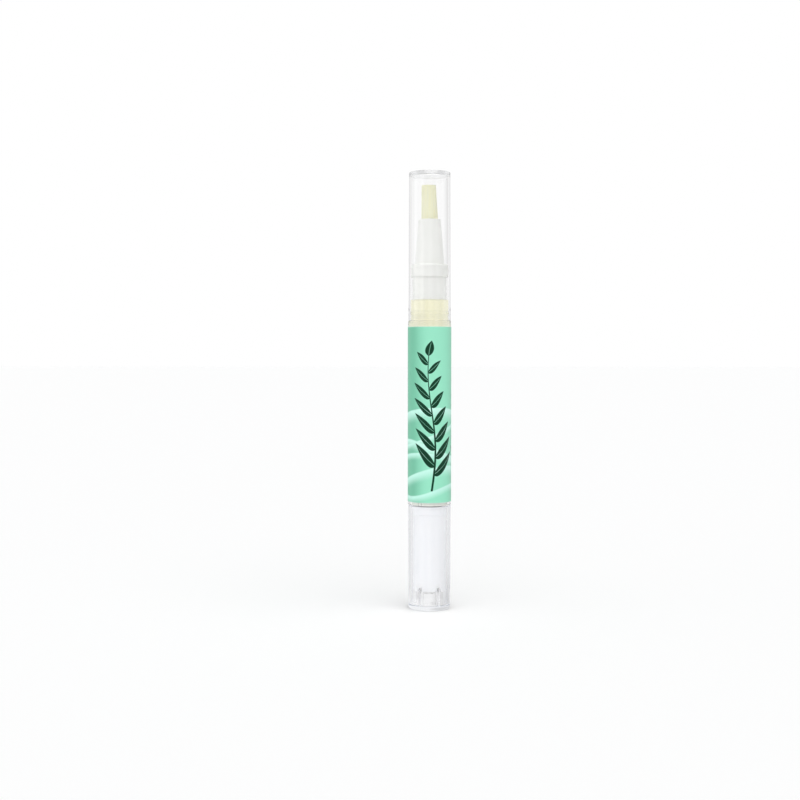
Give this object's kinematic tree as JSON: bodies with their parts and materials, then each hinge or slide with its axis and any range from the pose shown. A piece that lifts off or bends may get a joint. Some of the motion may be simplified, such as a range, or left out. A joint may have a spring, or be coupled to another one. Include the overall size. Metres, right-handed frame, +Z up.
{
  "type": "twist-up oil pen",
  "caption": "Slim twist-up pen for cuticle oil with a brush tip under a clear slip-on cap, a labelled clear barrel and a clear twist knob.",
  "frame": {"origin": "centre of the knob's flat base, on the pen's axis", "axes": "+Z up along the pen towards the cap's closed end, +X to the right in the pictured front view, +Y away from the viewer"},
  "size_m": [0.013, 0.013, 0.13],
  "materials": {
    "clear_cap": "clear polished styrene",
    "clear_barrel": "clear polished plastic, moulded",
    "clear_knob": "clear polished plastic with a thick floor",
    "white_ferrule": "white polypropylene, satin and slightly translucent",
    "milky_sleeve": "milky translucent polypropylene",
    "mint_label": "mint printed film with soft lighter bands and a dark green leaf sprig",
    "bristle": "fine nylon bristles wet with oil",
    "oil": "pale yellow clear oil",
    "natural_plastic": "natural white acetal or polypropylene, moulded",
    "grey_spring_plastic": "grey acetal, moulded thin to spring",
    "seal_rubber": "dark silicone"
  },
  "bodies": {
    "barrel": {"barrel": "clear_barrel", "label": "mint_label", "oil": "oil", "brush_ferrule": "white_ferrule", "bristle_tuft": "bristle", "tuft_holder": "natural_plastic", "feed_tube": "natural_plastic", "spindle_nut": "natural_plastic", "ratchet_ring": "natural_plastic"},
    "cap": {"cap": "clear_cap"},
    "knob": {"knob": "clear_knob", "drive_sleeve": "milky_sleeve", "click_ring": "grey_spring_plastic"},
    "piston": {"piston": "natural_plastic", "piston_seal": "seal_rubber"},
    "spindle": {"spindle": "natural_plastic"}
  },
  "joints": [
    {"name": "cap_pull", "type": "slide", "parent": "barrel", "child": "cap", "axis": [0, 0, 1], "range_m": [0, 0.05]},
    {"name": "knob_twist", "type": "hinge", "parent": "barrel", "child": "knob", "pos_m": [0, 0, 0], "axis": [0, 0, 1], "range_deg": [0, 8640], "deforming": ["click_ring"]},
    {"name": "piston_slide", "type": "slide", "parent": "barrel", "child": "piston", "axis": [0, 0, 1], "range_m": [0, 0.036], "deforming": ["oil"]},
    {"name": "spindle_spin", "type": "hinge", "parent": "piston", "child": "spindle", "pos_m": [0, 0, 0], "axis": [0, 0, 1], "range_deg": [0, 8640]}
  ],
  "couplings": [
    {"joint": "knob_twist", "follows": "piston_slide", "rad_per_m": 4188.8},
    {"joint": "spindle_spin", "follows": "piston_slide", "rad_per_m": 4188.8}
  ]
}
